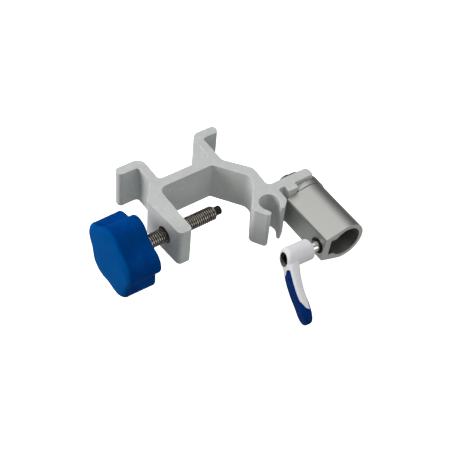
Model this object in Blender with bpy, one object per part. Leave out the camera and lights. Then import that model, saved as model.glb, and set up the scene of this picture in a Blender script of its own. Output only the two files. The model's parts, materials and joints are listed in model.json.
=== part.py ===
"""Pole and rail clamp: an extruded jaw with a hand screw, and a side socket with a clamping lever.

Frame: +Z along the extrusion, X along the hand screw, origin on the rear face between the hooks.
Every number below is in millimetres unless its name says otherwise; meshes are made in metres.
"""
import math

import bmesh
import bpy
from mathutils import Matrix, Vector

MM = 0.001
GAP = 0.3                       # between pieces that touch

# Clamp frame
FRAME_HEIGHT = 30.0
HOOK_CHANNEL = 39.0             # between the two hooks
WALL = 7.0                      # rear wall
HOOK_WALL = 6.0
CLIP_BORE = 7.0                 # radius of the snap clip
CLIP_X, CLIP_Y = 30.1, -53.4

# Hand screw, along X
SCREW_Y = -31.3
SCREW_R = 4.85
SCREW_HOLE_R = 5.15
SCREW_START, SCREW_END = -70.0, 3.0
KNOB_FRONT, KNOB_BACK = -76.8, -53.0
KNOB_R = 24.1                   # mean radius of the lobed outline at the back
KNOB_LOBES = 5
KNOB_LOBE_DEPTH = 2.5
KNOB_PHASE = 0.33               # radians, first lobe from -Y towards +Z
INSERT_R = 7.5
TIP_R = 3.0
TIP_LENGTH = 4.9
PIN_R = 1.2

# Side socket, along Y; its section is drawn about the bore's centre
SOCKET_X, SOCKET_Z = 63.0, -2.4
SOCKET_ROLL = math.radians(5.0)
SOCKET_FRONT, SOCKET_REAR = -94.3, -52.5
SOCKET_R = 14.1
SOCKET_BORE = 10.95
SOCKET_WALL_U = -18.45          # flat side that carries the lever
SOCKET_WALL_HALF = 9.3
CHANNEL_U = -13.2
CHANNEL_HALF = 6.45
BASE_R = 14.7
BOLT_U = -2.2
BOLT_R = 4.0
FLANGE_REAR, FLANGE_FRONT = -40.6, -47.6
FLANGE_END = 69.6
RIB_END = 54.2

# Clamping lever, drawn with its axis on Z and its arm along X
LEVER_Y = -88.0
LEVER_W = -0.6                  # its axis below the middle of the flat wall
LEVER_SWING = math.radians(59.0)    # from straight down towards the socket's mouth
LEVER_LENGTH = 43.3
HUB_LOW, HUB_TOP = 7.0, 26.2
HUB_R = 6.9
HUB_BORE_R = 5.5
HUB_SHOULDER = 17.5
HUB_TOP_BORE = 4.9
STUD_R = 3.8
STUD_HEAD_R = 4.2
STUD_TOP = 14.2
LEVER_SCREW_R = 2.0
INLAY_DEPTH = 2.0
INLAY_START = 9.0
ARM_LEVELS, ARM_KICK = 30.0, 0.13   # the arm rises to here, then only by this slope
TIP_CAP = 6.0                   # the inlay wraps the arm's end over this length

ARC_STEP = math.radians(18.0)

MATERIALS = {}


def clear_scene():
    for obj in list(bpy.data.objects):
        bpy.data.objects.remove(obj, do_unlink=True)


def material(name, colour, roughness, metallic=0.0):
    """A plain Principled material, made once per name."""
    if name not in MATERIALS:
        made = bpy.data.materials.new(name)
        made.use_nodes = True
        shader = made.node_tree.nodes["Principled BSDF"]
        shader.inputs["Base Color"].default_value = (*colour, 1.0)
        shader.inputs["Roughness"].default_value = roughness
        shader.inputs["Metallic"].default_value = metallic
        MATERIALS[name] = made
    return MATERIALS[name]


def powder_coat():
    return material("powder_coat", (0.62, 0.63, 0.62), 0.55)


def anodised():
    return material("anodised_aluminium", (0.55, 0.55, 0.54), 0.35, 1.0)


def steel():
    return material("steel", (0.42, 0.40, 0.37), 0.35, 1.0)


def chrome():
    return material("chrome", (0.75, 0.74, 0.72), 0.15, 1.0)


def blue_plastic():
    return material("blue_plastic", (0.01, 0.09, 0.35), 0.45)


def grey_plastic():
    return material("grey_plastic", (0.60, 0.60, 0.62), 0.5)


def black_plastic():
    return material("black_plastic", (0.03, 0.03, 0.03), 0.6)


# ---------------------------------------------------------------- shape tools

def arc(centre_x, centre_y, radius, start_deg, end_deg, steps):
    """Points on an arc, as sharp corners of an outline."""
    points = []
    for i in range(steps + 1):
        angle = math.radians(start_deg + (end_deg - start_deg) * i / steps)
        points.append((centre_x + radius * math.cos(angle), centre_y + radius * math.sin(angle), 0.0))
    return points


def fillet_outline(corners):
    """Closed outline from (x, y, radius) corners, each radius turned into an arc."""
    points = []
    count = len(corners)
    for i, (x, y, radius) in enumerate(corners):
        here = Vector((x, y))
        if radius <= 0.0:
            points.append(here)
            continue
        before = (Vector(corners[i - 1][:2]) - here).normalized()
        after = (Vector(corners[(i + 1) % count][:2]) - here).normalized()
        half = before.angle(after) / 2.0
        centre = here + (before + after).normalized() * (radius / math.sin(half))
        start = here + before * (radius / math.tan(half)) - centre
        end = here + after * (radius / math.tan(half)) - centre
        turn = start.angle_signed(end)
        steps = max(2, round(abs(turn) / ARC_STEP))
        for step in range(steps + 1):
            angle = -turn * step / steps
            spun = Matrix.Rotation(angle, 2) @ start
            points.append(centre + spun)
    return points


def finish_object(name, mesh_data, finish, parent=None, matrix=None):
    """Scale a bmesh to metres, close it as an object, and place it."""
    bmesh.ops.scale(mesh_data, vec=(MM, MM, MM), verts=mesh_data.verts)
    bmesh.ops.recalc_face_normals(mesh_data, faces=mesh_data.faces)
    mesh = bpy.data.meshes.new(name)
    mesh_data.to_mesh(mesh)
    mesh_data.free()
    mesh.shade_smooth()
    mesh.set_sharp_from_angle(angle=math.radians(35.0))
    obj = bpy.data.objects.new(name, mesh)
    bpy.context.scene.collection.objects.link(obj)
    obj.data.materials.append(finish)
    if parent is not None:
        obj.parent = parent
    if matrix is not None:
        obj.matrix_local = matrix
    return obj


def prism(name, outline, low, high, finish, plane="XY", **placing):
    """Extrude a closed outline from low to high; plane XZ extrudes along Y."""
    made = bmesh.new()
    if plane == "XY":
        ring = [made.verts.new((p[0], p[1], low)) for p in outline]
        reach = Vector((0, 0, high - low))
    else:
        ring = [made.verts.new((p[0], low, p[1])) for p in outline]
        reach = Vector((0, high - low, 0))
    face = made.faces.new(ring)
    grown = bmesh.ops.extrude_face_region(made, geom=[face])
    top = [item for item in grown["geom"] if isinstance(item, bmesh.types.BMVert)]
    bmesh.ops.translate(made, vec=reach, verts=top)
    return finish_object(name, made, finish, **placing)


def turned(name, profile, finish, steps=32, closed=False, **placing):
    """Spin (radius, height) points round Z; closed joins the last point to the first."""
    made = bmesh.new()
    points = [made.verts.new((radius, 0.0, height)) for radius, height in profile]
    edges = [made.edges.new(pair) for pair in zip(points[:-1], points[1:])]
    if closed:
        edges.append(made.edges.new((points[-1], points[0])))
    bmesh.ops.spin(made, geom=points + edges, cent=(0, 0, 0), axis=(0, 0, 1),
                   angle=math.tau, steps=steps, use_merge=True)
    bmesh.ops.remove_doubles(made, verts=made.verts, dist=0.0005)
    return finish_object(name, made, finish, **placing)


def loft(name, sections, finish, **placing):
    """Skin a row of equal sections and cap both ends."""
    made = bmesh.new()
    rings = [[made.verts.new(point) for point in section] for section in sections]
    for low, high in zip(rings[:-1], rings[1:]):
        for i in range(len(low)):
            j = (i + 1) % len(low)
            made.faces.new((low[i], low[j], high[j], high[i]))
    made.faces.new(rings[0])
    made.faces.new(list(reversed(rings[-1])))
    return finish_object(name, made, finish, **placing)


def boolean(obj, other, operation="DIFFERENCE"):
    """Combine with another object, which is then hidden as a guide."""
    modifier = obj.modifiers.new(operation.lower(), "BOOLEAN")
    modifier.operation = operation
    modifier.solver = "EXACT"
    modifier.object = other
    other.hide_render = True
    other.display_type = "WIRE"


def empty(name, matrix, parent=None):
    guide = bpy.data.objects.new(name, None)
    bpy.context.scene.collection.objects.link(guide)
    guide.parent = parent
    guide.matrix_local = matrix
    return guide


def along_x(x, y, z):
    """Local Z to world X, with the origin at a point in millimetres."""
    turn = Matrix.Rotation(math.radians(90.0), 4, "Y")
    return Matrix.Translation(Vector((x, y, z)) * MM) @ turn


def along_y(x, y, z):
    """Local Z to world +Y."""
    turn = Matrix.Rotation(math.radians(-90.0), 4, "X")
    return Matrix.Translation(Vector((x, y, z)) * MM) @ turn


def at(x, y, z):
    return Matrix.Translation(Vector((x, y, z)) * MM)


def rod(radius, low, high, chamfer=0.0):
    """Profile of a plain or chamfered cylinder."""
    if chamfer <= 0.0:
        return [(0, low), (radius, low), (radius, high), (0, high)]
    return [(0, low), (radius - chamfer, low), (radius, low + chamfer),
            (radius, high - chamfer), (radius - chamfer, high), (0, high)]


def tube(inner, outer, low, high):
    """Profile of a ring, to be spun closed."""
    return [(inner, low), (outer, low), (outer, high), (inner, high)]


# --------------------------------------------------------------- clamp frame

def frame_corners():
    """Plan of the extrusion, clockwise from the left hook's tip."""
    half = HOOK_CHANNEL / 2.0
    left_hook = [(-39.8, 22.3, 2.8), (-half, 22.3, 6.0), (-half, 0.0, 2.2)]
    right_hook = [(half, 0.0, 2.2), (half, 23.5, 6.5), (38.7, 23.5, 3.0), (38.7, 16.7, 3.0),
                  (half + HOOK_WALL, 16.7, 2.0)]
    jaw_outside = [(half + HOOK_WALL, -6.2, 4.0), (39.0, -23.0, 6.0), (38.0, FLANGE_REAR, 3.0)]
    flange = [(FLANGE_END, FLANGE_REAR, 3.0), (FLANGE_END, FLANGE_FRONT, 0.6),
              (RIB_END, FLANGE_FRONT, 0.8), (RIB_END, -52.1, 1.0), (46.95, -52.1, 0.8),
              (46.95, -46.9, 1.2), (41.65, -46.9, 1.6)]
    clip = [(41.25, -57.5, 4.0), (34.8, -62.6, 0.9), (33.9, -60.5, 1.0)]
    clip += arc(CLIP_X, CLIP_Y, CLIP_BORE, -43.0, 217.0, 18)
    clip += [(25.8, -59.8, 0.5), (26.0, -62.0, 1.0), (22.9, -62.4, 1.2), (17.8, -54.6, 3.0),
             (17.9, -51.5, 0.8)]
    jaw_inside = [(34.3, -30.2, 8.0), (17.25, -WALL, 1.5), (-24.3, -WALL, 5.5)]
    screw_arm = [(-24.3, -46.9, 2.0), (-33.6, -46.9, 3.2), (-36.0, -12.4, 3.0)]
    hook_back = [(-half - HOOK_WALL, 1.4, 2.5), (-half - HOOK_WALL, 15.7, 2.3), (-39.8, 15.7, 2.8)]
    return left_hook + right_hook + jaw_outside + flange + clip + jaw_inside + screw_arm + hook_back


def build_frame():
    half = FRAME_HEIGHT / 2.0
    frame = prism("clamp_frame", fillet_outline(frame_corners()), -half, half, powder_coat())
    screw_hole = turned("screw_hole", rod(SCREW_HOLE_R, -50.0, -20.0), powder_coat(),
                        matrix=along_x(0, SCREW_Y, 0))
    countersink = turned("countersink", [(0, -38.0), (7.8, -38.0), (SCREW_HOLE_R, -33.4), (0, -33.4)],
                         powder_coat(), matrix=along_x(0, SCREW_Y, 0))
    bolt_x = SOCKET_X + BOLT_U * math.cos(SOCKET_ROLL)
    bolt_z = SOCKET_Z - BOLT_U * math.sin(SOCKET_ROLL)
    bolt_hole = turned("bolt_hole", rod(BOLT_R + GAP, -50.0, -38.0), powder_coat(),
                       matrix=along_y(bolt_x, 0, bolt_z))
    for cutter in (screw_hole, countersink, bolt_hole):
        boolean(frame, cutter)


# ---------------------------------------------------------------- hand screw

def build_screw():
    """The threaded spindle with its knob, and the tip that presses on the clamped pole."""
    axis = empty("screw_axis", at(0, SCREW_Y, 0))
    lie = Matrix.Rotation(math.radians(90.0), 4, "Y")
    profile = [(0, SCREW_START), (SCREW_R, SCREW_START), (SCREW_R, SCREW_END - 1.2),
               (SCREW_R - 1.2, SCREW_END), (1.9, SCREW_END), (1.9, SCREW_END - 6.5), (0, SCREW_END - 6.5)]
    spindle = turned("spindle", profile, steel(), parent=axis, matrix=lie)
    tip = [(0, SCREW_END - 6.0), (1.6, SCREW_END - 6.0), (1.6, SCREW_END + GAP),
           (TIP_R, SCREW_END + GAP), (TIP_R, SCREW_END + TIP_LENGTH - 0.6),
           (TIP_R - 0.6, SCREW_END + TIP_LENGTH), (0, SCREW_END + TIP_LENGTH)]
    turned("pressure_tip", tip, black_plastic(), parent=axis, matrix=lie)
    build_knob(axis, lie, spindle)


def knob_section(x, mean_radius):
    """One lobed ring of the knob, square to the screw."""
    points = []
    steps = KNOB_LOBES * 12
    for i in range(steps):
        angle = math.tau * i / steps
        wave = math.cos(KNOB_LOBES * (angle - KNOB_PHASE))
        radius = mean_radius + KNOB_LOBE_DEPTH * wave * min(1.0, mean_radius / KNOB_R)
        points.append((x, -radius * math.cos(angle), radius * math.sin(angle)))
    return points


def build_knob(axis, lie, spindle):
    shape = [(0.0, -8.0), (0.5, -3.9), (1.7, -1.8), (4.0, -0.5), (20.4, 0.0), (22.6, -0.5), (23.8, -1.7)]
    sections = [knob_section(KNOB_FRONT + depth, KNOB_R + change) for depth, change in shape]
    knob = loft("knob", sections, blue_plastic(), parent=axis)
    cavity = turned("knob_cavity", rod(INSERT_R + GAP, -71.5, KNOB_BACK + 5.0), steel(),
                    parent=axis, matrix=lie)
    boolean(knob, cavity)
    bore = SCREW_R + GAP
    insert_profile = [(0, -71.2), (INSERT_R, -71.2), (INSERT_R, KNOB_BACK + 0.8), (bore, KNOB_BACK + 0.8),
                      (bore, SCREW_START - GAP), (0, SCREW_START - GAP)]
    insert = turned("knob_insert", insert_profile, steel(), parent=axis, matrix=lie)
    pin_x = -62.0
    turned("knob_pin", rod(PIN_R, -6.9, 6.9, 0.3), steel(), steps=16, parent=axis, matrix=at(pin_x, 0, 0))
    pin_hole = turned("knob_pin_hole", rod(PIN_R + GAP, -12.0, 12.0), steel(), steps=16,
                      parent=axis, matrix=at(pin_x, 0, 0))
    boolean(insert, pin_hole)
    boolean(spindle, pin_hole)


# --------------------------------------------------------------- side socket

def teardrop(radius, wall_u, wall_half, corner):
    """Round section drawn out to a flat wall, about the bore's centre."""
    reach = math.hypot(wall_u, wall_half)
    to_corner = math.atan2(wall_half, wall_u)
    tangent = math.degrees(to_corner - math.acos(radius / reach))
    round_part = arc(0, 0, radius, -tangent, tangent, 24)
    return fillet_outline([(wall_u, wall_half, corner), (wall_u, -wall_half, corner)] + round_part)


def bore_section(clearance):
    """The socket's bore with the channel for the clamping pad, made smaller by a clearance."""
    radius = SOCKET_BORE - clearance
    half = CHANNEL_HALF - clearance
    meet = math.degrees(math.asin(half / radius))
    corners = [(CHANNEL_U + clearance, half, 0.8), (CHANNEL_U + clearance, -half, 0.8)]
    return fillet_outline(corners + arc(0, 0, radius, -180.0 + meet, 180.0 - meet, 24))


def build_socket():
    axis = empty("socket_axis", at(SOCKET_X, 0, SOCKET_Z) @ Matrix.Rotation(SOCKET_ROLL, 4, "Y"))
    outline = teardrop(SOCKET_R, SOCKET_WALL_U, SOCKET_WALL_HALF, 1.6)
    body = prism("socket_tube", outline, SOCKET_FRONT, SOCKET_REAR, anodised(), plane="XZ", parent=axis)
    bore = prism("socket_bore", bore_section(0.0), SOCKET_FRONT - 5, SOCKET_REAR + 5, anodised(),
                 plane="XZ", parent=axis)
    boolean(body, bore)
    bush_place = along_x(SOCKET_WALL_U, LEVER_Y, LEVER_W)
    bush_hole = turned("bush_hole", [(0, -3.0), (5.6, -3.0), (5.6, 1.6), (5.1, 1.6), (5.1, 8.0), (0, 8.0)],
                       anodised(), parent=axis, matrix=bush_place)
    boolean(body, bush_hole)
    turned("stud_bush", [(4.1, 0.6), (5.3, 0.6), (5.3, 1.3), (4.8, 1.3), (4.8, 5.0), (4.1, 5.0)], steel(),
           closed=True, parent=axis, matrix=bush_place)

    core = prism("socket_core", bore_section(GAP), SOCKET_REAR - 12.0, SOCKET_REAR, steel(),
                 plane="XZ", parent=axis)
    core_hole = turned("core_hole", rod(BOLT_R + GAP, -11.0, 4.0), steel(), parent=axis,
                       matrix=along_y(BOLT_U, SOCKET_REAR, 0))
    pin_place = at(2.5, SOCKET_REAR - 6.0, 0)
    pin_hole = turned("core_pin_hole", rod(1.8, -20.0, -6.8), steel(), steps=16,
                      parent=axis, matrix=pin_place)
    boolean(core, core_hole)
    boolean(core, pin_hole)
    boolean(body, pin_hole)
    turned("core_pin", rod(1.5, -13.6, -7.1, 0.3), steel(), steps=16, parent=axis, matrix=pin_place)
    return axis


def build_socket_base():
    """The round seat behind the socket, flatted against the rib and hooked round the flange's end."""
    seat_low, seat_high = SOCKET_REAR + GAP, FLANGE_FRONT - GAP
    flat = RIB_END + GAP - SOCKET_X
    edge = math.degrees(math.acos(flat / BASE_R))
    seat = prism("socket_base", fillet_outline(arc(0, 0, BASE_R, -edge, edge, 40)), seat_low, seat_high,
                 anodised(), plane="XZ", matrix=at(SOCKET_X, 0, SOCKET_Z))
    lug_flat = FLANGE_END + GAP - SOCKET_X
    lug_edge = math.degrees(math.acos(lug_flat / BASE_R))
    lug = prism("base_lug", fillet_outline(arc(0, 0, BASE_R, -lug_edge, lug_edge, 20)), seat_high - 1.5,
                -44.5, anodised(), plane="XZ", matrix=at(SOCKET_X, 0, SOCKET_Z))
    boolean(seat, lug, "UNION")
    bolt_x = SOCKET_X + BOLT_U * math.cos(SOCKET_ROLL)
    bolt_z = SOCKET_Z - BOLT_U * math.sin(SOCKET_ROLL)
    hole = turned("base_hole", rod(BOLT_R + GAP, -60.0, -40.0), anodised(),
                  matrix=along_y(bolt_x, 0, bolt_z))
    boolean(seat, hole)

    place = along_y(bolt_x, FLANGE_REAR, bolt_z)
    build_rear_stack(place)


def build_rear_stack(place):
    """Spacer, backing washer, lock washer and bolt, heights counted from the flange's rear face."""
    hole = BOLT_R + GAP
    turned("rear_spacer", tube(hole, 12.4, GAP, 3.3), anodised(), closed=True, matrix=place)
    turned("backing_washer", tube(hole, 12.0, 3.6, 4.9), black_plastic(), closed=True, matrix=place)
    turned("lock_washer", tube(hole, 7.0, 5.2, 6.4), steel(), closed=True, matrix=place)
    shank_end, head_low, head_high = -22.0, 6.7, 10.6
    profile = [(0, shank_end), (BOLT_R - 0.8, shank_end), (BOLT_R, shank_end + 0.8), (BOLT_R, head_low),
               (6.9, head_low), (6.9, head_low + 0.8), (6.4, head_low + 2.2), (5.4, head_high - 0.5),
               (4.2, head_high), (0, head_high)]
    bolt = turned("rear_bolt", profile, steel(), matrix=place)
    boolean(bolt, hex_socket("bolt_socket", 2.85, head_high - 2.8, head_high + 2.0, matrix=place))


def hex_socket(name, radius, low, high, **placing):
    sides = [(radius * math.cos(math.tau * i / 6), radius * math.sin(math.tau * i / 6)) for i in range(6)]
    return prism(name, sides, low, high, steel(), **placing)


# ------------------------------------------------------------ clamping lever

def arm_section(x, half_width, low, high):
    """Rounded rectangle square to the arm."""
    corner = min(half_width, (high - low) / 2.0) * 0.45
    box = [(-half_width, low, corner), (half_width, low, corner),
           (half_width, high, corner), (-half_width, high, corner)]
    return [(x, point[0], point[1]) for point in fillet_outline(box)]


def arm_height(x):
    """Low and high faces of the arm, which rises and then levels out, at a distance from the hub's axis."""
    rise = math.sin(math.pi / 2.0 * min(1.0, x / ARM_LEVELS))
    kick = ARM_KICK * max(0.0, x - ARM_LEVELS)
    return 17.0 + 8.4 * rise + kick, HUB_TOP - 0.4 + 6.6 * rise ** 0.7 + kick


def arm_half_width(x):
    return 5.4 + 0.5 * x / LEVER_LENGTH


def arm_sections(start, end, grow=0.0):
    """Sections of the arm from start to its rounded end."""
    sections = []
    for step in range(9):
        x = start + (end - 9.0 - start) * step / 8.0
        low, high = arm_height(x)
        sections.append(arm_section(x, arm_half_width(x) + grow, low - grow, high + grow))
    for back, part in ((7.0, 0.98), (5.0, 0.91), (3.2, 0.81), (1.6, 0.66), (0.5, 0.47), (0.0, 0.28)):
        low, high = arm_height(end - back)
        middle, half = (low + high) / 2.0, (high - low) / 2.0 * part
        sections.append(arm_section(end - back, arm_half_width(end) * part, middle - half, middle + half))
    return sections


def inlay_space(name, start, clearance, parent):
    """The volume that the coloured inlay takes: the arm's outer face and its end."""
    sections = []
    for step in range(9):
        x = start + (LEVER_LENGTH + TIP_CAP - start) * step / 8.0
        high = arm_height(x)[1]
        sections.append([(x, side * 12.0, level) for side, level in
                         ((-1, high - INLAY_DEPTH + clearance), (1, high - INLAY_DEPTH + clearance),
                          (1, high + 6.0), (-1, high + 6.0))])
    face = loft(name, sections, blue_plastic(), parent=parent)
    end = LEVER_LENGTH - TIP_CAP + clearance
    cap = prism(name + "_cap", [(end, -12.0), (end + 12.0, -12.0), (end + 12.0, 12.0), (end, 12.0)],
                15.0, 45.0, blue_plastic(), parent=parent)
    boolean(face, cap, "UNION")
    return face


def build_lever(socket_axis):
    """Lever on the socket's flat wall: local Z is its axis, local X its arm."""
    arm = Vector((0.0, -math.sin(LEVER_SWING), -math.cos(LEVER_SWING)))
    out = Vector((-1.0, 0.0, 0.0))
    side = out.cross(arm)
    turn = Matrix((arm, side, out)).transposed().to_4x4()
    axis = empty("lever_axis", at(SOCKET_WALL_U, LEVER_Y, LEVER_W) @ turn, socket_axis)

    hub = [(0, HUB_LOW), (HUB_R - 0.8, HUB_LOW), (HUB_R, HUB_LOW + 0.8), (HUB_R + 0.3, HUB_TOP - 2.2),
           (HUB_R - 0.1, HUB_TOP - 0.7), (HUB_R - 1.1, HUB_TOP), (0, HUB_TOP)]
    body = turned("lever_body", hub, grey_plastic(), parent=axis)
    arm_body = loft("lever_arm", arm_sections(1.0, LEVER_LENGTH), grey_plastic(), parent=axis)
    boolean(body, arm_body, "UNION")
    boolean(body, inlay_space("inlay_pocket", INLAY_START - GAP / 2, -GAP / 2, axis))
    hub_bores = [(0, HUB_LOW - 4), (HUB_BORE_R, HUB_LOW - 4), (HUB_BORE_R, HUB_SHOULDER),
                 (HUB_TOP_BORE, HUB_SHOULDER), (HUB_TOP_BORE, HUB_TOP + 4), (0, HUB_TOP + 4)]
    boolean(body, turned("hub_bores", hub_bores, steel(), parent=axis))

    inlay = loft("lever_inlay", arm_sections(1.0, LEVER_LENGTH), blue_plastic(), parent=axis)
    boolean(inlay, inlay_space("inlay_core", INLAY_START + GAP / 2, GAP / 2, axis), "INTERSECT")

    stud_end = -6.0
    stud = [(0, stud_end), (STUD_R - 0.6, stud_end), (STUD_R, stud_end + 0.6), (STUD_R, HUB_LOW + 0.6),
            (STUD_HEAD_R, HUB_LOW + 0.6), (STUD_HEAD_R, STUD_TOP), (LEVER_SCREW_R + GAP, STUD_TOP),
            (LEVER_SCREW_R + GAP, 8.6), (0, 8.6)]
    turned("clamp_stud", stud, chrome(), parent=axis)
    insert = [(STUD_HEAD_R + GAP, HUB_LOW + GAP), (HUB_BORE_R - GAP, HUB_LOW + GAP),
              (HUB_BORE_R - GAP, HUB_SHOULDER - GAP), (LEVER_SCREW_R + GAP, HUB_SHOULDER - GAP),
              (LEVER_SCREW_R + GAP, STUD_TOP + GAP), (STUD_HEAD_R + GAP, STUD_TOP + GAP)]
    turned("lever_insert", insert, steel(), closed=True, parent=axis)

    head_low, head_high = HUB_TOP - 4.0, HUB_TOP - 0.4
    screw = [(0, 9.0), (LEVER_SCREW_R, 9.0), (LEVER_SCREW_R, head_low), (4.5, head_low),
             (4.5, head_high - 0.4), (4.1, head_high), (0, head_high)]
    lever_screw = turned("lever_screw", screw, chrome(), parent=axis)
    boolean(lever_screw, hex_socket("lever_screw_socket", 2.3, head_high - 2.4, head_high + 2, parent=axis))
    build_spring(axis, head_low)
    build_clamp_pad(socket_axis)


def build_spring(axis, head_low):
    """Compression spring between the lever's insert and the screw's head."""
    wire, coil, turns = 0.45, 3.6, 3.0
    low = HUB_SHOULDER + wire + 0.1
    high = head_low - wire - 0.3
    curve = bpy.data.curves.new("lever_spring", "CURVE")
    curve.dimensions = "3D"
    curve.bevel_depth = wire * MM
    curve.bevel_resolution = 1
    curve.use_fill_caps = True
    spline = curve.splines.new("POLY")
    count = int(turns * 16)
    spline.points.add(count)
    for i in range(count + 1):
        angle = math.tau * turns * i / count
        height = low + (high - low) * i / count
        point = Vector((coil * math.cos(angle), coil * math.sin(angle), height)) * MM
        spline.points[i].co = (*point, 1.0)
    curve.materials.append(steel())
    spring = bpy.data.objects.new("lever_spring", curve)
    bpy.context.scene.collection.objects.link(spring)
    spring.parent = axis


def build_clamp_pad(socket_axis):
    """Pad in the bore's channel that the stud pushes against the clamped bar."""
    half = CHANNEL_HALF - GAP
    face = SOCKET_BORE - 0.4
    spread = math.degrees(math.asin(half / face))
    outline = [(-12.1, -half, 0.6), (-12.1, half, 0.6)] + arc(0, 0, face, 180.0 - spread, 180.0 + spread, 10)
    prism("clamp_pad", fillet_outline(outline), LEVER_Y - 5.8, LEVER_Y + 9.0, black_plastic(),
          plane="XZ", parent=socket_axis)


def main():
    clear_scene()
    build_frame()
    build_screw()
    socket_axis = build_socket()
    build_socket_base()
    build_lever(socket_axis)


main()
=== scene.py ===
"""Looks for the pole and rail clamp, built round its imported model.

Meshes are in metres, in the model's own frame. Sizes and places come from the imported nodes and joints;
the lengths named below are the small ones that only the finished surfaces have.
"""
import json
import math

import bmesh
import bpy
from mathutils import Matrix, Vector

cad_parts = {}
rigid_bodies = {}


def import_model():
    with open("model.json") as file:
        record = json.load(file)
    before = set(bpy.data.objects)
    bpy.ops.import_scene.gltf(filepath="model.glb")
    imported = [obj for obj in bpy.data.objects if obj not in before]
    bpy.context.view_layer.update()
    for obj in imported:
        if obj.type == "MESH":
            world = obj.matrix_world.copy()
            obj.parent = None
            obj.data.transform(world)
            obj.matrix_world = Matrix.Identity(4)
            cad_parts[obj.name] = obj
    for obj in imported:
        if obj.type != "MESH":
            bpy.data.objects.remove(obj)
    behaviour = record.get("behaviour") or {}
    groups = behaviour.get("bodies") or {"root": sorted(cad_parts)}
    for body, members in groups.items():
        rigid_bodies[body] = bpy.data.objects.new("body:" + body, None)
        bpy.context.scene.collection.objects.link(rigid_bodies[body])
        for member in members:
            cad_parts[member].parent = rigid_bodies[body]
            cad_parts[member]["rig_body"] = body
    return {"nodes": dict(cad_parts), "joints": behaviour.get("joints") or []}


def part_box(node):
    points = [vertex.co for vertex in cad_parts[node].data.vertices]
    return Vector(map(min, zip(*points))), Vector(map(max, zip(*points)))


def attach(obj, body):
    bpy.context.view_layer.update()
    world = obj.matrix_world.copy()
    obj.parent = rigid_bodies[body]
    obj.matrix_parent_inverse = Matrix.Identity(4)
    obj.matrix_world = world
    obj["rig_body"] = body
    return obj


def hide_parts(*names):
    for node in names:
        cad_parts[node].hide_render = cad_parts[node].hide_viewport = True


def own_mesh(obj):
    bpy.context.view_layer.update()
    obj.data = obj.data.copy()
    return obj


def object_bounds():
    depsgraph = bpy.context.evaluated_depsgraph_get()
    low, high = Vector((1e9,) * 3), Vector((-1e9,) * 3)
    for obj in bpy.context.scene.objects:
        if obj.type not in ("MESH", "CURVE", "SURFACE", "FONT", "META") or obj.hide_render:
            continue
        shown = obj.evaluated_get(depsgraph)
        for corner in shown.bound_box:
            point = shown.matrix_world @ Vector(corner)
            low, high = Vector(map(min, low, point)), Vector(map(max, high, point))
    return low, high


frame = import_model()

CAD_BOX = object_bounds()
MM = 0.001
NODES = frame["nodes"]
JOINTS = {joint["name"]: joint for joint in frame["joints"]}

# Camera: which way it looks, how it is rolled, and how far it stands from its aim
CAMERA_AZIMUTH = math.radians(-38.69)
CAMERA_ELEVATION = math.radians(48.22)
CAMERA_ROLL = math.radians(5.71)
CAMERA_DISTANCE = 0.763
CAMERA_AIM = Vector((0.003, -0.0443, 0.0))
CAMERA_LENS = 95.1

THREAD_PITCH = 1.5 * MM
VALLEY_DEPTH = 1.15             # depth of the knob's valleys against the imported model's
RIM_VALLEY = 0.55               # share of that depth in the knob's front rim
RIM_END, VALLEY_FULL = 0.12, 0.24   # shares of the knob's length between which they deepen
EDGE = 0.45 * MM                # rounding of the extrusion's sharp edges

# Where the lights point, and the light that reaches the clamp from the room, by height
LIGHTS_AIM = Vector((0.0, -0.03, 0.0))
BELOW, HORIZON, ABOVE = (0.42, 0.44, 0.43), (0.04, 0.04, 0.04), (0.70, 0.72, 0.71)


# ------------------------------------------------------------------ materials

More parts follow.
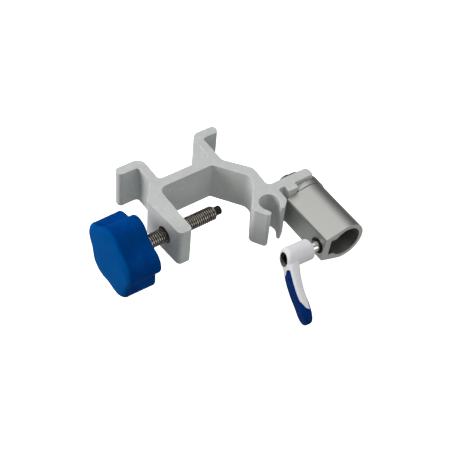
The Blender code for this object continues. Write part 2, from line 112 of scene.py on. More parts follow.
class Finish:
    """A material with short calls for the nodes that the finishes share. Object space is in metres."""

    def __init__(self, name, **constants):
        self.material = bpy.data.materials.new(name)
        self.material.use_nodes = True
        self.tree = self.material.node_tree
        self.shader = self.tree.nodes["Principled BSDF"]
        for socket, value in constants.items():
            self.shader.inputs[socket.replace("_", " ")].default_value = value
        self.place = self.node("ShaderNodeTexCoord").outputs["Object"]
        self.normal = None

    def node(self, kind, **settings):
        made = self.tree.nodes.new(kind)
        for key, value in settings.items():
            setattr(made, key, value)
        return made

    def join(self, source, socket):
        self.tree.links.new(source, socket)

    def noise(self, grain, detail=2.0, stretch=(1.0, 1.0, 1.0)):
        """Noise whose features are about grain metres wide, drawn out along an axis by a small stretch."""
        mapping = self.node("ShaderNodeMapping")
        mapping.inputs["Scale"].default_value = stretch
        self.join(self.place, mapping.inputs["Vector"])
        noise = self.node("ShaderNodeTexNoise")
        noise.inputs["Scale"].default_value = 1.0 / grain
        noise.inputs["Detail"].default_value = detail
        self.join(mapping.outputs["Vector"], noise.inputs["Vector"])
        return noise.outputs["Fac"]

    def edges(self, low, high):
        """1 on convex edges and 0 on flats, by the pointiness between low and high."""
        return self.spread(self.node("ShaderNodeNewGeometry").outputs["Pointiness"], low, high)

    def spread(self, value, low, high, bottom=0.0, top=1.0):
        """Maps low..high to bottom..top, and holds it there."""
        ranged = self.node("ShaderNodeMapRange", clamp=True)
        ranged.inputs["From Min"].default_value = low
        ranged.inputs["From Max"].default_value = high
        ranged.inputs["To Min"].default_value = bottom
        ranged.inputs["To Max"].default_value = top
        self.join(value, ranged.inputs["Value"])
        return ranged.outputs["Result"]

    def blend(self, share, first, second):
        """Mixes two colours, each a colour or another node's output."""
        mix = self.node("ShaderNodeMix", data_type="RGBA")
        self.join(share, mix.inputs["Factor"])
        for socket, colour in ((mix.inputs[6], first), (mix.inputs[7], second)):
            if isinstance(colour, tuple):
                socket.default_value = (*colour, 1.0)
            else:
                self.join(colour, socket)
        return mix.outputs[2]

    def bump(self, height, strength, distance):
        """Adds relief on top of what is there already."""
        bump = self.node("ShaderNodeBump")
        bump.inputs["Strength"].default_value = strength
        bump.inputs["Distance"].default_value = distance
        self.join(height, bump.inputs["Height"])
        if self.normal is not None:
            self.join(self.normal, bump.inputs["Normal"])
        self.normal = bump.outputs["Normal"]

    def done(self, colour, roughness):
        self.join(colour, self.shader.inputs["Base Color"])
        self.join(roughness, self.shader.inputs["Roughness"])
        if self.normal is not None:
            self.join(self.normal, self.shader.inputs["Normal"])
        return self.material


def powder_coat(name, dark, light, paler_tone):
    """Powder coat: a fine orange peel, cloudy tone, small specks and rubbed patches."""
    made = Finish(name, Specular_IOR_Level=0.42)
    cloud = made.spread(made.noise(22 * MM, 3.0), 0.35, 0.65)
    tone = made.blend(cloud, dark, light)
    speck = made.spread(made.noise(0.9 * MM, 2.0), 0.62, 0.75, 0.0, 0.6)
    tone = made.blend(speck, tone, tuple(0.86 * part for part in dark))
    rub = made.spread(made.noise(3.5 * MM, 3.0), 0.52, 0.72, 0.0, 0.8)
    tone = made.blend(rub, tone, paler_tone)
    made.bump(made.noise(1.3 * MM, 1.0), 0.10, 0.25 * MM)
    made.bump(made.noise(0.35 * MM, 2.0), 0.12, 0.10 * MM)
    rough = made.spread(made.noise(4 * MM, 2.0), 0.3, 0.7, 0.44, 0.58)
    return made.done(tone, rough)


def anodised(name, dark, light):
    """Natural anodised extrusion with the fine lines of the die along Y."""
    made = Finish(name, Metallic=1.0)
    lines = made.noise(0.5 * MM, 3.0, (1.0, 0.02, 1.0))
    cloud = made.noise(9 * MM, 2.0, (1.0, 0.35, 1.0))
    tone = made.blend(made.spread(lines, 0.3, 0.7), dark, light)
    tone = made.blend(made.spread(cloud, 0.55, 0.8, 0.0, 0.5), tone, dark)
    made.bump(lines, 0.10, 0.06 * MM)
    made.bump(made.noise(0.18 * MM, 1.0), 0.05, 0.04 * MM)
    rough = made.spread(lines, 0.3, 0.7, 0.42, 0.50)
    return made.done(tone, rough)


def steel(name, dark, light, rough_low, rough_high):
    """Steel with an uneven brown or dark film of oil, and a painted glint on its convex edges."""
    made = Finish(name, Metallic=1.0)
    film = made.spread(made.noise(1.6 * MM, 3.0), 0.38, 0.62)
    tone = made.blend(film, dark, light)
    # painted highlight: convex edges are lightened into a glint
    glint = tuple(min(1.0, 2.1 * part) for part in light)
    tone = made.blend(made.edges(0.52, 0.62), tone, glint)
    made.bump(made.noise(0.3 * MM, 2.0), 0.10, 0.05 * MM)
    rough = made.spread(made.noise(0.8 * MM, 2.0), 0.3, 0.7, rough_low, rough_high)
    return made.done(tone, rough)


def chrome():
    """Polished plating with faint turning marks and a few dull patches."""
    made = Finish("chrome", Metallic=1.0)
    marks = made.noise(0.25 * MM, 1.0, (1.0, 0.1, 0.1))
    patches = made.spread(made.noise(3 * MM), 0.4, 0.7)
    tone = made.blend(patches, (0.84, 0.825, 0.80), (0.72, 0.705, 0.68))
    made.bump(marks, 0.04, 0.03 * MM)
    rough = made.spread(made.noise(1.5 * MM, 2.0), 0.35, 0.7, 0.07, 0.17)
    return made.done(tone, rough)


def plastic(name, deep, light, paler_tone, rough_low, rough_high, **constants):
    """Moulded plastic: spark-eroded grain, faint flow clouds and edges made paler as a painted highlight."""
    made = Finish(name, **constants)
    cloud = made.spread(made.noise(14 * MM, 3.0), 0.35, 0.65)
    tone = made.blend(cloud, deep, light)
    rub = made.spread(made.noise(2.2 * MM, 3.0), 0.45, 0.7)
    tone = made.blend(rub, tone, light)
    # painted highlight: convex edges are paler, where light catches them
    tone = made.blend(made.edges(0.53, 0.68), tone, paler_tone)
    made.bump(made.noise(0.45 * MM, 2.0), 0.06, 0.04 * MM)
    made.bump(made.noise(5 * MM, 1.0), 0.04, 0.20 * MM)
    rough = made.spread(made.noise(1.8 * MM, 3.0), 0.3, 0.7, rough_low, rough_high)
    return made.done(tone, rough)


def knob_finish():
    """Blue moulded grip with painted light: its flat front is painted a shade lighter and its sides a painted
    shade darker.
    """
    made = Finish("knob_blue_painted_light", Specular_IOR_Level=0.005)
    parts = made.node("ShaderNodeSeparateXYZ")
    made.join(made.node("ShaderNodeTexCoord").outputs["Normal"], parts.inputs["Vector"])
    # painted light: faces looking along -X, the knob's lit front, get the lighter blue; the sides get a darker
    # painted shade
    front = made.spread(parts.outputs["X"], -0.85, -0.30, 1.0, 0.0)
    cloud = made.spread(made.noise(14 * MM, 3.0), 0.35, 0.65)
    side = made.blend(cloud, (0.000, 0.036, 0.185), (0.000, 0.050, 0.235))
    face = made.blend(cloud, (0.000, 0.060, 0.235), (0.000, 0.078, 0.280))
    tone = made.blend(front, side, face)
    rub = made.spread(made.noise(2.2 * MM, 3.0), 0.50, 0.75, 0.0, 0.5)
    tone = made.blend(rub, tone, (0.000, 0.062, 0.26))
    made.bump(made.noise(0.45 * MM, 2.0), 0.10, 0.06 * MM)
    made.bump(made.noise(5 * MM, 1.0), 0.05, 0.25 * MM)
    rough = made.spread(made.noise(1.8 * MM, 3.0), 0.3, 0.7, 0.42, 0.54)
    return made.done(tone, rough)


def floor_finish():
    made = Finish("pale_floor", Roughness=0.9, Emission_Color=(1.0, 1.0, 1.0, 1.0), Emission_Strength=0.85)
    tone = made.blend(made.noise(0.4, 1.0), (0.93, 0.93, 0.93), (0.95, 0.95, 0.95))
    made.join(tone, made.shader.inputs["Base Color"])
    return made.material


FINISH = {
    "powder_coat": powder_coat("powder_coat", (0.485, 0.50, 0.49), (0.53, 0.54, 0.53), (0.57, 0.575, 0.57)),
    # painted highlight: a paler coat for the frame's rounded edges, where light catches them
    "painted_highlight_edges": powder_coat("painted_highlight_edges", (0.70, 0.71, 0.71), (0.80, 0.805, 0.80), (0.88, 0.88, 0.88)),
    # painted shade for the screw hole and the lever's recess
    "painted_shade_bore": powder_coat("painted_shade_bore", (0.10, 0.10, 0.098), (0.16, 0.16, 0.155), (0.22, 0.21, 0.20)),
    "anodised_aluminium": anodised("anodised_aluminium", (0.52, 0.515, 0.495), (0.575, 0.57, 0.55)),
    "steel": steel("steel", (0.30, 0.27, 0.23), (0.46, 0.42, 0.37), 0.26, 0.42),
    # painted shade: darkened nearly to black for parts that sit in recesses
    "dark_steel_painted_shade": steel("dark_steel_painted_shade", (0.022, 0.020, 0.018), (0.060, 0.054, 0.048), 0.35, 0.5),
    # painted shade in the thread's roots
    "thread_root_painted_shade": steel("thread_root_painted_shade", (0.045, 0.036, 0.028), (0.13, 0.105, 0.085), 0.36, 0.5),
    # painted highlight on the thread's crests
    "thread_crest_painted_highlight": steel("thread_crest_painted_highlight", (0.38, 0.33, 0.27), (0.95, 0.90, 0.82), 0.14, 0.28),
    "chrome": chrome(),
    "knob_blue_painted_light": knob_finish(),
    # the pale blue on the inlay's edges is a painted highlight
    "inlay_blue": plastic("inlay_blue", (0.000, 0.018, 0.115), (0.000, 0.025, 0.140), (0.000, 0.10, 0.34),
                          0.24, 0.32, Specular_IOR_Level=0.03),
    "grey_plastic": plastic("grey_plastic", (0.70, 0.68, 0.71), (0.745, 0.725, 0.755), (0.82, 0.80, 0.83),
                            0.38, 0.50),
    "black_plastic": plastic("black_plastic", (0.006, 0.006, 0.006), (0.012, 0.012, 0.012),
                             (0.03, 0.03, 0.03), 0.40, 0.55, Specular_IOR_Level=0.15),
}


# ---------------------------------------------------------------- mesh tools

def body_of(node):
    return NODES[node]["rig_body"]


def piece(name, made, finish, slot, *nodes, sharp=40.0):
    """Turns a bmesh into a shown object that rides with, and stands for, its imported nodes."""
    bmesh.ops.remove_doubles(made, verts=made.verts, dist=0.001 * MM)
    bmesh.ops.dissolve_degenerate(made, edges=made.edges, dist=0.001 * MM)
    bmesh.ops.recalc_face_normals(made, faces=made.faces)
    mesh = bpy.data.meshes.new(name)
    made.to_mesh(mesh)
    made.free()
    mesh.shade_smooth()
    mesh.set_sharp_from_angle(angle=math.radians(sharp))
    obj = bpy.data.objects.new(name, mesh)
    bpy.context.scene.collection.objects.link(obj)
    mesh.materials.append(FINISH[finish])
    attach(obj, body_of(nodes[0]))
    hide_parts(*nodes)
    return obj


def packed_mesh(node):
    """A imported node's mesh with its triangles joined back into flat faces."""
    made = bmesh.new()
    made.from_mesh(NODES[node].data)
    bmesh.ops.remove_doubles(made, verts=made.verts, dist=0.002 * MM)
    bmesh.ops.dissolve_limit(made, angle_limit=math.radians(1.0), verts=made.verts, edges=made.edges)
    return made


def rounded(name, node, finish, slot, width, rim=None, steps=3):
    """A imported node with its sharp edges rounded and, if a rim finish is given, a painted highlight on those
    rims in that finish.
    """
    made = packed_mesh(node)
    corners = [edge for edge in made.edges
               if len(edge.link_faces) == 2 and edge.calc_face_angle() > math.radians(50.0)]
    rims = bmesh.ops.bevel(made, geom=corners, offset=width, offset_type="OFFSET", segments=steps,
                           profile=0.5, affect="EDGES", clamp_overlap=True)["faces"]
    # the rim finish paints a highlight on the rounded edges
    if rim:
        for face in rims:
            face.material_index = 1
    obj = piece(name, made, finish, slot, node)
    if rim:
        obj.data.materials.append(FINISH[rim])
    obj.modifiers.new("flat_faces", "WEIGHTED_NORMAL").keep_sharp = True
    return obj


def turned(profile, steps=72):
    """Spins (radius, height) points round Z."""
    made = bmesh.new()
    points = [made.verts.new((radius, 0.0, height)) for radius, height in profile]
    edges = [made.edges.new(pair) for pair in zip(points[:-1], points[1:])]
    bmesh.ops.spin(made, geom=points + edges, cent=(0, 0, 0), axis=(0, 0, 1),
                   angle=math.tau, steps=steps, use_merge=True)
    bmesh.ops.remove_doubles(made, verts=made.verts, dist=0.001 * MM)
    return made


def loft(sections):
    """Skins a row of equal rings and caps both ends."""
    made = bmesh.new()
    rings = [[made.verts.new(point) for point in section] for section in sections]
    for low, high in zip(rings[:-1], rings[1:]):
        for i in range(len(low)):
            j = (i + 1) % len(low)
            made.faces.new((low[i], low[j], high[j], high[i]))
    made.faces.new(rings[0])
    made.faces.new(list(reversed(rings[-1])))
    return made


def quarter(width, height, steps=6):
    """(inset, depth) points of a quarter ellipse, from the flat face to the side."""
    points = []
    for i in range(steps + 1):
        angle = math.pi / 2.0 * i / steps
        points.append((width * (1.0 - math.sin(angle)), height * (1.0 - math.cos(angle))))
    return points


def moved(made, matrix):
    bmesh.ops.transform(made, matrix=matrix, verts=made.verts)
    return made


def scratch(name, made):
    """A helper object for a Boolean, to be removed afterwards."""
    bmesh.ops.recalc_face_normals(made, faces=made.faces)
    mesh = bpy.data.meshes.new(name)
    made.to_mesh(mesh)
    made.free()
    obj = bpy.data.objects.new(name, mesh)
    bpy.context.scene.collection.objects.link(obj)
    return obj


def result_of(obj):
    """The object's mesh after its modifiers, as a bmesh."""
    bpy.context.view_layer.update()
    evaluated = obj.evaluated_get(bpy.context.evaluated_depsgraph_get())
    made = bmesh.new()
    made.from_mesh(evaluated.to_mesh())
    evaluated.to_mesh_clear()
    return made


def combined(base, *others):
    """base with each (object, operation) applied in turn, as a bmesh."""
    for other, operation in others:
        modifier = base.modifiers.new("combine", "BOOLEAN")
        modifier.operation = operation
        modifier.solver = "EXACT"
        modifier.object = other
    made = result_of(base)
    base.modifiers.clear()
    return made


def discard(*objects):
    for obj in objects:
        bpy.data.objects.remove(obj, do_unlink=True)


# ---------------------------------------------------------------- hand screw

SCREW_AXIS = Vector(JOINTS["screw_turn"]["pos_m"])
ALONG_SCREW = Matrix.Translation(SCREW_AXIS) @ Matrix.Rotation(math.radians(90.0), 4, "Y")


def build_spindle():
    """The threaded spindle: a true helix, cut square at both ends, with a chamfer at its free end."""
    low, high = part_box("spindle")
    major = (high.z - low.z) / 2.0
    minor = major - 0.61 * THREAD_PITCH
    per_turn = 36
    crest, flank = 0.10 * THREAD_PITCH, 0.38 * THREAD_PITCH
    root = 0.14 * THREAD_PITCH
    tooth = ((0.0, major), (crest, major), (crest + flank, minor), (crest + flank + root, minor))
    chamfer_from = high.x - 1.1 * MM
    made = bmesh.new()
    rings = []
    turns = int((high.x - low.x) / THREAD_PITCH) + 4
    for step in range(turns * per_turn):
        angle = math.tau * step / per_turn
        start = low.x - 2.0 * THREAD_PITCH + THREAD_PITCH * step / per_turn
        ring = []
        for along, radius in tooth:
            x = start + along
            radius = min(radius, major - max(0.0, x - chamfer_from))
            ring.append(made.verts.new((radius * math.cos(angle), radius * math.sin(angle), x)))
        rings.append(ring)
    for step in range(len(rings) - 1):
        here, after = rings[step], rings[step + 1]
        for a in range(len(tooth) - 1):
            face = made.faces.new((here[a], here[a + 1], after[a + 1], after[a]))
            # painted light: roots and rising flanks take the dark painted shade, crests the bright painted
            # highlight
            face.material_index = int(a == len(tooth) - 2)
        if step + per_turn + 1 < len(rings):
            here_next, after_next = rings[step + per_turn], rings[step + per_turn + 1]
            made.faces.new((here[-1], here_next[0], after_next[0], after[-1])).material_index = 1
    for x, side in ((low.x, -1.0), (high.x, 1.0)):
        everything = made.verts[:] + made.edges[:] + made.faces[:]
        bmesh.ops.bisect_plane(made, geom=everything, plane_co=(0, 0, x), plane_no=(0, 0, side),
                               clear_outer=True)
        rim = [edge for edge in made.edges if edge.is_boundary and abs(edge.verts[0].co.z - x) < 1e-7
               and abs(edge.verts[1].co.z - x) < 1e-7]
        bmesh.ops.edgeloop_fill(made, edges=rim)
    moved(made, ALONG_SCREW)
    thread = piece("spindle_thread", made, "thread_crest_painted_highlight", "steel", "spindle", sharp=32.0)
    thread.data.materials.append(FINISH["thread_root_painted_shade"])


def build_tip():
    """The pressure tip: a short stem and a small domed pad."""
    low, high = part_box("pressure_tip")
    radius = (high.z - low.z) / 2.0
    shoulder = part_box("spindle")[1].x + 0.3 * MM
    stem = 1.6 * MM
    profile = [(0.0, low.x), (stem, low.x), (stem, shoulder), (radius - 0.2 * MM, shoulder),
               (radius, shoulder + 0.2 * MM)]
    edge = 0.9 * MM
    profile += [(radius - inset, high.x - depth) for inset, depth in reversed(quarter(edge, edge))]
    profile += [(0.0, high.x)]
    made = moved(turned(profile, 48), ALONG_SCREW)
    piece("tip_pad", made, "black_plastic", "black_plastic", "pressure_tip")


def lobed_outline():
    """Mean radius, lobe depth, lobe count and first lobe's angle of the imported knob's widest ring."""
    polar = []
    for vertex in NODES["knob"].data.vertices:
        arm = vertex.co - SCREW_AXIS
        polar.append((math.hypot(arm.y, arm.z), math.atan2(arm.z, arm.y), vertex.co.x))
    widest = max(polar)
    ring = [spot for spot in polar if abs(spot[2] - widest[2]) < 0.05 * MM and spot[0] > widest[0] / 2.0]
    narrowest = min(ring)
    peaks = {round(spot[1], 2) for spot in ring if spot[0] > widest[0] - 0.02 * MM}
    return (widest[0] + narrowest[0]) / 2.0, (widest[0] - narrowest[0]) / 2.0, len(peaks), widest[1]


def build_knob():
    """The lobed knob: a flat front with a wide round edge, valleys that deepen behind it, and a bore."""
    low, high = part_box("knob")
    mean, depth, lobes, phase = lobed_outline()
    insert_low, insert_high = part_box("knob_insert")
    bore = (insert_high.z - insert_low.z) / 2.0 + 0.3 * MM
    steps = 180
    length = high.x - low.x

    def ring(x, inset):
        along = min(1.0, (x - low.x) / length)
        crest = mean + depth - 0.35 * MM * (1.0 - along) - inset
        keep = min(1.0, crest / (0.8 * mean))
        share = RIM_VALLEY + (0.9 - RIM_VALLEY) * smooth_step(RIM_END, VALLEY_FULL, along) + 0.1 * along
        valley = 2.0 * VALLEY_DEPTH * depth * share * keep
        section = []
        for i in range(steps):
            angle = math.tau * i / steps
            dip = (0.5 - 0.5 * math.cos(lobes * (angle - phase))) ** 1.3
            radius = crest - valley * dip
            section.append((x, radius * math.cos(angle), radius * math.sin(angle)))
        return section

    def circle(x, radius):
        return [(x, radius * math.cos(math.tau * i / steps), radius * math.sin(math.tau * i / steps))
                for i in range(steps)]

    front_edge, back_edge = 4.4 * MM, 1.4 * MM
    dome = 0.35 * MM
    sections = [circle(low.x, 1.5 * MM), circle(low.x + 0.02 * MM, 7.0 * MM)]
    sections += [ring(low.x + dome * 0.45, 0.35 * mean)]
    front = quarter(front_edge, front_edge * 0.8, 9)
    back = quarter(back_edge, back_edge * 0.8, 6)
    stations = (0.14, 0.17, 0.2, 0.24, 0.3, 0.4, 0.6, 0.75, 0.87)
    bore_end = insert_low.x - 0.3 * MM
    sections += [ring(low.x + dome + drop, inset) for inset, drop in front]
    sections += [ring(low.x + length * station, 0.0) for station in stations]
    sections += [ring(high.x - drop, inset) for inset, drop in reversed(back)]
    sections += [circle(high.x, bore + 4.0 * MM), circle(high.x, bore + 0.4 * MM),
                 circle(high.x - 0.4 * MM, bore)]
    sections += [circle(bore_end, bore), circle(bore_end, 1.0 * MM)]
    made = moved(loft(sections), Matrix.Translation((0.0, SCREW_AXIS.y, SCREW_AXIS.z)))
    piece("knob_grip", made, "knob_blue_painted_light", "blue_plastic", "knob", sharp=50.0)


# ------------------------------------------------------------ clamping lever

LEVER_PIVOT = Vector(JOINTS["lever_turn"]["pos_m"])
LEVER_OUT = -Vector(JOINTS["lever_turn"]["axis"]).normalized()


def lever_space():
    """Local X along the arm, Z out along the stud; and the arm's reach from the stud's axis."""
    reach = Vector((0.0, 0.0, 0.0))
    for vertex in NODES["lever_inlay"].data.vertices:
        arm = vertex.co - LEVER_PIVOT
        arm -= LEVER_OUT * arm.dot(LEVER_OUT)
        if arm.length > reach.length:
            reach = arm
    centre = sum((vertex.co for vertex in NODES["lever_inlay"].data.vertices), Vector())
    centre = centre / len(NODES["lever_inlay"].data.vertices) - LEVER_PIVOT
    along = (centre - LEVER_OUT * centre.dot(LEVER_OUT)).normalized()
    side = LEVER_OUT.cross(along)
    turn = Matrix((along, side, LEVER_OUT)).transposed().to_4x4()
    return Matrix.Translation(LEVER_PIVOT) @ turn, reach.dot(along)


LEVER_SPACE, ARM_LENGTH = lever_space()


def span(node, space):
    """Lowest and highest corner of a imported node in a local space."""
    points = [space.inverted() @ vertex.co for vertex in NODES[node].data.vertices]
    low = Vector([min(point[i] for point in points) for i in range(3)])
    high = Vector([max(point[i] for point in points) for i in range(3)])
    return low, high


HUB_R = span("lever_body", LEVER_SPACE)[1].y - 0.2 * MM
HUB_LOW = span("lever_body", LEVER_SPACE)[0].z
HUB_TOP = span("lever_screw", LEVER_SPACE)[1].z + 1.2 * MM     # on the axis
HUB_SLOPE = 0.26                # of its top, up towards the arm
HUB_ROUND = 2.3 * MM
RECESS_R = 4.6 * MM             # of the hole that the retaining screw sits in
SEAM = 0.06 * MM                # gap round the inlay
ARM_LEVELS = 30.0 * MM          # distance from the stud's axis at which the arm stops rising
ARM_KICK = 0.13                 # slope of the arm beyond that


def arm_faces(x):
    """Low and high faces of the arm at a distance from the stud's axis: it rises, then levels out."""
    rise = math.sin(math.pi / 2.0 * max(0.0, min(1.0, x / ARM_LEVELS)))
    kick = ARM_KICK * max(0.0, x - ARM_LEVELS)
    high = HUB_TOP - 0.6 * MM + 5.8 * MM * rise ** 0.8 + kick
    return 17.0 * MM + 8.4 * MM * rise + kick, high


def arm_width(x):
    return 5.7 * MM + 0.3 * MM * x / ARM_LENGTH


def soft_box(x, half_width, low, high):
    """A superellipse ring square to the arm."""
    middle, half = (low + high) / 2.0, (high - low) / 2.0
    steps = 40
    power = 2.0 / 3.6
    ring = []
    for i in range(steps):
        angle = math.tau * i / steps
        c, s = math.cos(angle), math.sin(angle)
        y = math.copysign(abs(c) ** power, c) * half_width
        z = math.copysign(abs(s) ** power, s) * half
        ring.append((x, y, middle + z))
    return ring


def arm_sections():
    sections = []
    straight = ARM_LENGTH - 10.0 * MM
    for step in range(15):
        x = straight * step / 14.0
        low, high = arm_faces(x)
        sections.append(soft_box(x, arm_width(x), low, high))
    for step in range(1, 13):
        share = step / 12.0
        x = straight + (ARM_LENGTH - straight) * math.sin(math.pi / 2.0 * share)
        part = max(0.04, math.cos(math.pi / 2.0 * share)) ** 0.55
        low, high = arm_faces(x)
        middle, half = (low + high) / 2.0, (high - low) / 2.0 * part
        sections.append(soft_box(x, arm_width(x) * part, middle - half, middle + half))
    return sections


def hub_mesh():
    """The hub: a cylinder whose outer end slopes up towards the arm and has a full round."""
    edge = 0.8 * MM
    profile = [(0.0, HUB_LOW)]
    profile += [(HUB_R - inset, HUB_LOW + drop) for inset, drop in quarter(edge, edge)]
    profile += [(HUB_R, HUB_TOP - 9.0 * MM)]
    profile += [(HUB_R - inset, HUB_TOP - drop) for inset, drop in reversed(quarter(HUB_ROUND, HUB_ROUND, 8))]
    profile += [(0.0, HUB_TOP)]
    made = turned(profile, 64)
    for vertex in made.verts:
        share = min(1.0, max(0.0, (vertex.co.z - HUB_TOP + 6.0 * MM) / (6.0 * MM)))
        vertex.co.z += HUB_SLOPE * vertex.co.x * share
    return made


def smooth_step(low, high, value):
    share = min(1.0, max(0.0, (value - low) / (high - low)))
    return share * share * (3.0 - 2.0 * share)


def inlay_volume(gap):
    """What the inlay takes up: a narrow tongue on the arm's outer face that widens and runs down its sides."""
    start = 7.1 * MM
    depth = 1.4 * MM
    wide = 12.0 * MM
    top = 45.0 * MM
    sections = []
    count = 72
    for step in range(count + 1):
        x = start - gap + (ARM_LENGTH + 4.0 * MM - start) * (step / count) ** 1.4
        high = arm_faces(x)[1]
        nose = min(1.0, (x - start + gap) / (2.0 * MM))
        nose = math.sqrt(max(0.0009, 1.0 - (1.0 - nose) ** 2))
        middle = 2.1 * MM
        right = middle + 2.4 * MM * nose + gap
        widened = 4.6 * MM * smooth_step(8.6 * MM, 11.4 * MM, x)
        left = middle - 2.4 * MM * nose - widened - gap
        slow_fall = 0.061 * max(0.0, x / MM - 22.0) ** 1.6
        fast_fall = 0.35 * max(0.0, x / MM - 32.5) ** 2
        wing = high + 0.6 * MM - (slow_fall + fast_fall) * MM - gap
        floor = min(high - depth - gap, wing - 0.01 * MM)
        sections.append([(x, -wide, wing), (x, left, wing), (x, left, floor), (x, right, floor),
                         (x, right, wing), (x, wide, wing), (x, wide, top), (x, -wide, top)])
    return loft(sections)


def underside_volume(gap):
    """The strip of the inlay that comes back from the arm's end along its inner face."""
    wide = 12.0 * MM
    sections = []
    count = 24
    for step in range(count + 1):
        x = 22.0 * MM - gap + (ARM_LENGTH - 24.0 * MM) * step / count
        thickness = 0.1 * MM + 1.7 * MM * smooth_step(22.0 * MM, 32.0 * MM, x)
        top = arm_faces(x)[0] + thickness + gap
        sections.append([(x, -wide, 5.0 * MM), (x, wide, 5.0 * MM), (x, wide, top), (x, -wide, top)])
    return loft(sections)


def build_lever():
    """Hub and arm fused with soft fillets, then parted into the grey body and the blue inlay."""
    hub, arm = scratch("hub", hub_mesh()), scratch("arm", loft(arm_sections()))
    both = scratch("lever_rough", combined(hub, (arm, "UNION")))
    remesh = both.modifiers.new("fuse", "REMESH")
    remesh.mode = "VOXEL"
    remesh.voxel_size = 0.32 * MM
    soften = both.modifiers.new("soften", "SMOOTH")
    soften.factor = 0.5
    soften.iterations = 10
    solid = scratch("lever_solid", result_of(both))
    outer, under = scratch("outer", inlay_volume(0.0)), scratch("under", underside_volume(0.0))
    whole = scratch("inlay_volume", combined(outer, (under, "UNION")))
    outer_pocket = scratch("pocket", inlay_volume(SEAM))
    under_pocket = scratch("strip", underside_volume(SEAM))
    grown = scratch("inlay_pocket", combined(outer_pocket, (under_pocket, "UNION")))
    shoulder = 17.5 * MM
    bore = 5.5 * MM
    bores = scratch("hub_bores", turned([(0.0, HUB_LOW - 4 * MM), (bore, HUB_LOW - 4 * MM), (bore, shoulder),
                                         (RECESS_R, shoulder), (RECESS_R, HUB_TOP + 6 * MM),
                                         (0.0, HUB_TOP + 6 * MM)]))
    body = combined(solid, (grown, "DIFFERENCE"), (bores, "DIFFERENCE"))
    inlay = combined(solid, (whole, "INTERSECT"))
    discard(hub, arm, both, solid, outer, under, outer_pocket, under_pocket, whole, grown, bores)
    # painted shade: the recess walls round the retaining screw take the dark bore finish
    for face in body.faces:
        centre = face.calc_center_median()
        arm = Vector((centre.x, centre.y, 0.0))
        in_recess = centre.z > shoulder and arm.length < RECESS_R + 0.1 * MM
        face.material_index = int(in_recess and face.normal.dot(arm) < -0.5 * arm.length)
    grip = piece("lever_grip", moved(body, LEVER_SPACE), "grey_plastic", "grey_plastic", "lever_body",
                 sharp=35.0)
    grip.data.materials.append(FINISH["painted_shade_bore"])
    piece("lever_inset", moved(inlay, LEVER_SPACE), "inlay_blue", "blue_plastic", "lever_inlay",
          sharp=35.0)


def build_lever_screw():
    """The retaining screw, sunk in the hub's recess, with a hexagon socket."""
    low, high = span("lever_screw", LEVER_SPACE)
    top = high.z - 0.7 * MM
    shank = 2.0 * MM
    head = RECESS_R - 0.25 * MM
    edge = 0.5 * MM
    profile = [(0.0, low.z), (shank, low.z), (shank, top - 2.6 * MM), (head, top - 2.6 * MM)]
    profile += [(head - inset, top - drop) for inset, drop in reversed(quarter(edge, edge, 4))]
    profile += [(0.0, top)]
    across = 2.9 * MM
    sides = [(across * math.cos(math.tau * i / 6), across * math.sin(math.tau * i / 6)) for i in range(6)]
    socket = loft([[(x, y, z) for x, y in sides] for z in (top - 1.9 * MM, top + 1.0 * MM)])
    screw, hexagon = scratch("screw", turned(profile, 48)), scratch("hexagon", socket)
    made = combined(screw, (hexagon, "DIFFERENCE"))
    discard(screw, hexagon)
    # its near-black steel is painted shade in the hub's recess
    piece("lever_retaining_screw", moved(made, LEVER_SPACE), "dark_steel_painted_shade", "chrome", "lever_screw")


def build_spring():
    """The spring under the retaining screw's head, given a mesh of its own; the real spring shortens as the
    lever lifts, which nothing here does.
    """
    coil = piece("spring_coil", packed_mesh("lever_spring"), "steel", "steel", "lever_spring")
    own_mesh(coil)


def build_stud():
    """The plated stud between the socket's wall and the hub."""
    low, high = span("clamp_stud", LEVER_SPACE)
    radius = 3.8 * MM
    head = (high.y - low.y) / 2.0
    seat = HUB_LOW + 0.6 * MM
    bevel = 0.5 * MM
    bore = 2.3 * MM
    profile = [(0.0, low.z), (radius - bevel, low.z), (radius, low.z + bevel), (radius, seat), (head, seat),
               (head, high.z), (bore, high.z), (bore, 8.6 * MM), (0.0, 8.6 * MM)]
    piece("lever_stud", moved(turned(profile), LEVER_SPACE), "chrome", "chrome", "clamp_stud", sharp=30.0)


# ------------------------------------------------------- pieces from the pack

def paint_shade_in_screw_hole(body):
    """Painted shade: the threaded hole and its countersink are coloured dark, as shade falls inside them."""
    body.data.materials.append(FINISH["painted_shade_bore"])
    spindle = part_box("spindle")[1].z
    beyond_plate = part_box("knob")[1].x + 32.0 * MM
    for face in body.data.polygons:
        arm = Vector((0.0, face.center.y - SCREW_AXIS.y, face.center.z - SCREW_AXIS.z))
        in_plate = face.center.x <= beyond_plate and arm.length < 1.75 * spindle
        if in_plate and face.normal.dot(arm.normalized()) < -0.2:
            face.material_index = 2


def build_rounded_pieces():
    body = rounded("clamp_body", "clamp_frame", "powder_coat", "powder_coat", EDGE, "painted_highlight_edges")
    paint_shade_in_screw_hole(body)
    metal, dark = "anodised_aluminium", "black_plastic"
    rounded("socket_body", "socket_tube", metal, metal, 0.25 * MM)
    rounded("socket_seat", "socket_base", metal, metal, 0.15 * MM, steps=2)
    rounded("spacer_ring", "rear_spacer", metal, metal, 0.25 * MM)
    rounded("backing_ring", "backing_washer", dark, dark, 0.2 * MM)
    rounded("pad_block", "clamp_pad", dark, dark, 0.3 * MM)


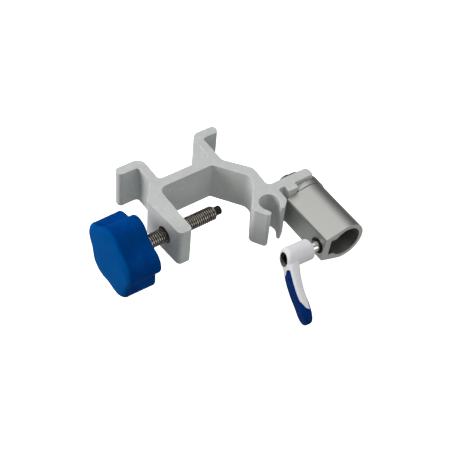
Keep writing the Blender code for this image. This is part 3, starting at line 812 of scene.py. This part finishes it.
def finish_kept_nodes():
    """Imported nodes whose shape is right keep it, and get their material."""
    # the stud's bush is black as painted shade in the hole round the stud
    kept = {"socket_core": "dark_steel_painted_shade", "core_pin": "dark_steel_painted_shade", "stud_bush": "black_plastic",
            "lock_washer": "steel", "rear_bolt": "steel", "knob_insert": "steel", "knob_pin": "steel",
            "lever_insert": "steel"}
    for node, finish in kept.items():
        mesh = NODES[node].data
        mesh.materials.clear()
        mesh.materials.append(FINISH[finish])


# --------------------------------------------------------------- the studio

def area_light(name, place, size, power, colour):
    """A round soft light aimed at the clamp's middle."""
    light = bpy.data.lights.new(name, "AREA")
    light.shape = "DISK"
    light.size = size
    light.energy = power
    light.color = colour
    obj = bpy.data.objects.new(name, light)
    bpy.context.scene.collection.objects.link(obj)
    obj.location = place
    obj.rotation_euler = (LIGHTS_AIM - Vector(place)).to_track_quat("-Z", "Y").to_euler()
    obj.visible_camera = False
    return obj


def build_surround():
    """An even room: bright above, dim at the horizon, with some light coming back from below."""
    world = bpy.data.worlds.new("surround")
    bpy.context.scene.world = world
    world.use_nodes = True
    tree = world.node_tree
    place = tree.nodes.new("ShaderNodeTexCoord")
    parts = tree.nodes.new("ShaderNodeSeparateXYZ")
    ramp = tree.nodes.new("ShaderNodeValToRGB")
    tree.links.new(place.outputs["Generated"], parts.inputs["Vector"])
    spread = tree.nodes.new("ShaderNodeMapRange")
    spread.inputs["From Min"].default_value = -1.0
    tree.links.new(parts.outputs["Z"], spread.inputs["Value"])
    tree.links.new(spread.outputs["Result"], ramp.inputs["Fac"])
    tree.links.new(ramp.outputs["Color"], tree.nodes["Background"].inputs["Color"])
    stops = ((0.0, BELOW), (0.30, BELOW), (0.42, HORIZON), (0.62, HORIZON), (1.0, ABOVE))
    while len(ramp.color_ramp.elements) < len(stops):
        ramp.color_ramp.elements.new(0.5)
    for element, (place_at, colour) in zip(ramp.color_ramp.elements, stops):
        element.position = place_at
        element.color = (*colour, 1.0)


def build_studio():
    """A pale floor under the lever's swing, and soft lights overhead, on the knob's side and in front."""
    floor_mesh = bmesh.new()
    bmesh.ops.create_grid(floor_mesh, x_segments=8, y_segments=8, size=6.0)
    floor = scratch("floor", floor_mesh)
    floor.location.z = min(CAD_BOX[0].z, LEVER_PIVOT.z - ARM_LENGTH) - 3.0 * MM
    floor.data.materials.append(floor_finish())
    floor.visible_diffuse = floor.visible_glossy = floor.visible_shadow = False
    area_light("overhead", (0.0, 0.15, 1.3), 2.2, 6.7, (1.0, 1.0, 0.99))
    knob_side = area_light("knob_side", (-0.9, 0.60, 0.42), 0.7, 13.0, (1.0, 0.975, 0.99))
    knob_side.visible_glossy = False    # it would streak along the socket's edges
    area_light("front_fill", (0.40, -1.15, 0.25), 1.0, 4.0, (0.96, 1.0, 0.985))
    build_surround()
    bpy.context.scene.view_settings.view_transform = "Standard"


def build_camera():
    flat = math.cos(CAMERA_ELEVATION)
    towards = Vector((-math.sin(CAMERA_AZIMUTH) * flat, math.cos(CAMERA_AZIMUTH) * flat,
                      -math.sin(CAMERA_ELEVATION)))
    data = bpy.data.cameras.new("camera")
    data.lens = CAMERA_LENS
    data.sensor_width = 36.0
    data.clip_start = 0.01
    data.clip_end = 50.0
    camera = bpy.data.objects.new("camera", data)
    bpy.context.scene.collection.objects.link(camera)
    camera.location = CAMERA_AIM - towards * CAMERA_DISTANCE
    level = towards.to_track_quat("-Z", "Y").to_matrix().to_4x4()
    roll = Matrix.Rotation(CAMERA_ROLL, 4, "Z")
    camera.rotation_euler = (level @ roll).to_euler()
    bpy.context.scene.camera = camera


build_camera()
build_studio()
build_rounded_pieces()
build_spindle()
build_tip()
build_knob()
build_lever()
build_lever_screw()
build_spring()
build_stud()
finish_kept_nodes()

bpy.context.view_layer.update()
